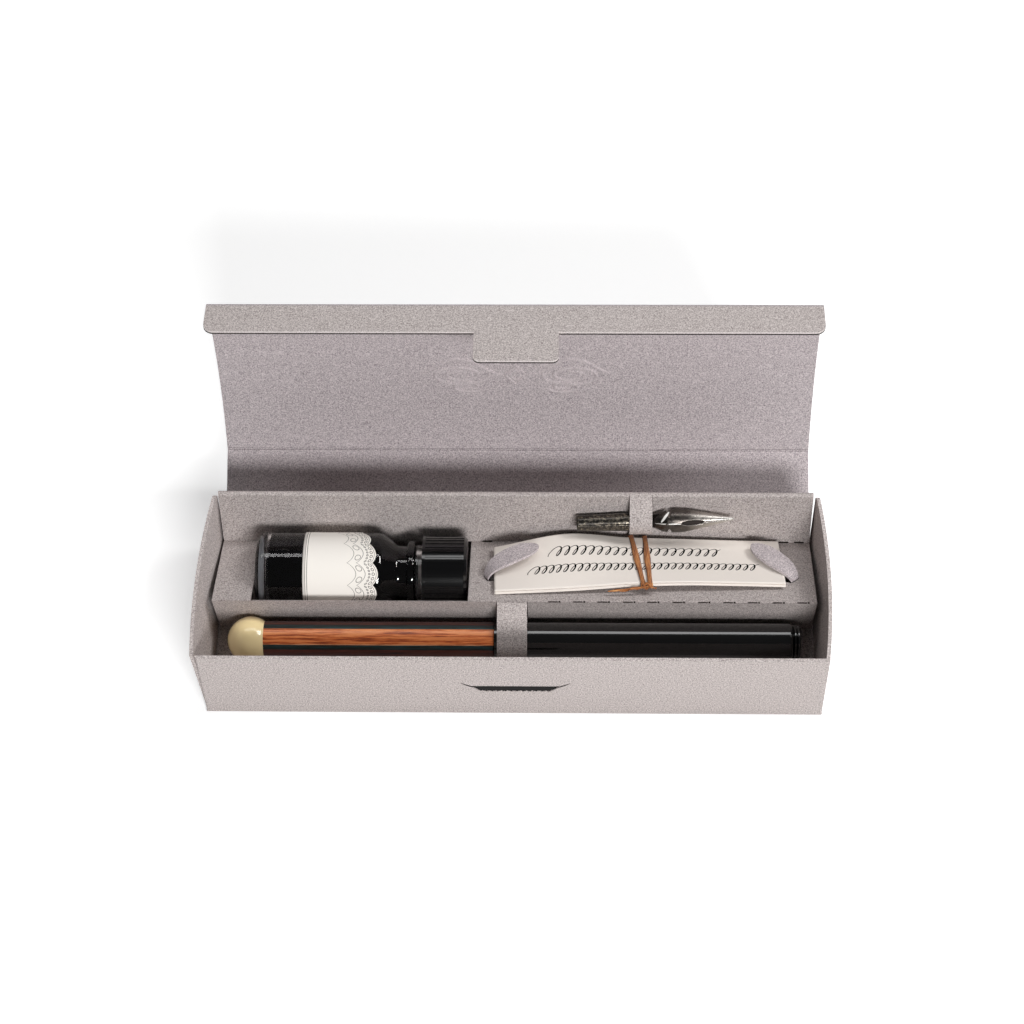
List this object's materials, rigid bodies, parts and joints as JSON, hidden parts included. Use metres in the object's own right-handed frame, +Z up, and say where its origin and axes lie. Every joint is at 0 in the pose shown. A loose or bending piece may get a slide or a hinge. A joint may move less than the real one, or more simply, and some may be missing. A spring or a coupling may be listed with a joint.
{
  "type": "calligraphy set in a folding carton",
  "caption": "Folding carton with hinged lid and card insert holding a dip pen, a loose nib, an ink bottle and a raffia-tied leaflet.",
  "frame": {"origin": "centre of the carton's underside", "axes": "+X to the right along the carton, +Y to its hinged back wall, +Z up; the lid stands open at rest"},
  "size_m": [0.1739, 0.0883, 0.0743],
  "materials": {
    "card": "uncoated recycled grey card with fine flecks",
    "ball_lacquer": "turned wood ball, cream yellow gloss lacquer",
    "laminated_wood": "dyed laminated veneers, satin",
    "black_lacquer": "high gloss black lacquer on turned wood",
    "spring_steel": "plain",
    "nib_steel": "blued and bronzed steel, silver at the tip",
    "glass": "clear moulded glass",
    "ink": "black ink",
    "label_paper": "matt cream paper",
    "black_plastic": "ribbed gloss black",
    "liner": "soft sealing disc",
    "leaflet_paper": "uncoated cream paper",
    "raffia": "dry fibrous palm strip"
  },
  "bodies": {
    "tray": {"box_base": "card", "box_front_wall": "card", "box_left_wall": "card", "box_right_wall": "card", "insert_rear_panel": "card", "insert_back_panel": "card", "insert_left_ledge": "card", "insert_platform": "card", "insert_left_riser": "card", "insert_right_riser": "card", "insert_floor": "card", "pen_strap": "card", "nib_loop": "card"},
    "back_wall": {"box_back_wall": "card"},
    "lid": {"lid_panel": "card"},
    "flap": {"lid_tuck_flap": "card"},
    "pen": {"pen_ball": "ball_lacquer", "pen_wood": "laminated_wood", "pen_barrel": "black_lacquer", "pen_mouth_ring": "black_lacquer", "pen_nib_clip": "spring_steel"},
    "nib": {"nib": "nib_steel"},
    "bottle": {"bottle_glass": "glass", "ink": "ink", "bottle_label": "label_paper"},
    "cap": {"bottle_cap": "black_plastic", "cap_liner": "liner"},
    "leaflet": {"leaflet": "leaflet_paper", "raffia_tie": "raffia"},
    "left_tongue": {"left_tongue": "card"},
    "right_tongue": {"right_tongue": "card"}
  },
  "joints": [
    {"name": "back_wall_crease", "type": "hinge", "parent": "tray", "child": "back_wall", "pos_m": [0, 0.0275, 0.001], "axis": [-1, 0, 0], "range_deg": [-59.7, 27]},
    {"name": "lid_crease", "type": "hinge", "parent": "back_wall", "child": "lid", "pos_m": [0, 0.05133, 0.01493], "axis": [-1, 0, 0], "range_deg": [-37.1, 55]},
    {"name": "flap_crease", "type": "hinge", "parent": "lid", "child": "flap", "pos_m": [0, 0.058, 0.07083], "axis": [-1, 0, 0], "range_deg": [0, 90]},
    {"name": "pen_slide", "type": "slide", "parent": "tray", "child": "pen", "axis": [1, 0, 0], "range_m": [-0.0035, 0.0035]},
    {"name": "nib_slide", "type": "slide", "parent": "tray", "child": "nib", "axis": [0.9989, 0.0089, 0.0463], "range_m": [0, 0.0218]},
    {"name": "bottle_lift", "type": "slide", "parent": "tray", "child": "bottle", "axis": [0, 0, 1], "range_m": [0, 0.04]},
    {"name": "cap_turn", "type": "hinge", "parent": "bottle", "child": "cap", "pos_m": [0, 0.00924, 0.0128], "axis": [1, 0, 0], "range_deg": [0, 540]},
    {"name": "leaflet_slide", "type": "slide", "parent": "tray", "child": "leaflet", "axis": [0, -0.9355, 0.3534], "range_m": [0, 0.02]},
    {"name": "left_tongue_hinge", "type": "hinge", "parent": "tray", "child": "left_tongue", "pos_m": [-0.0082, 0.00549, 0.01651], "axis": [0.4384, -0.8408, 0.3176], "range_deg": [0, 75]},
    {"name": "right_tongue_hinge", "type": "hinge", "parent": "tray", "child": "right_tongue", "pos_m": [0.0782, 0.00484, 0.01676], "axis": [0.7071, 0.6615, -0.2499], "range_deg": [0, 75]}
  ]
}
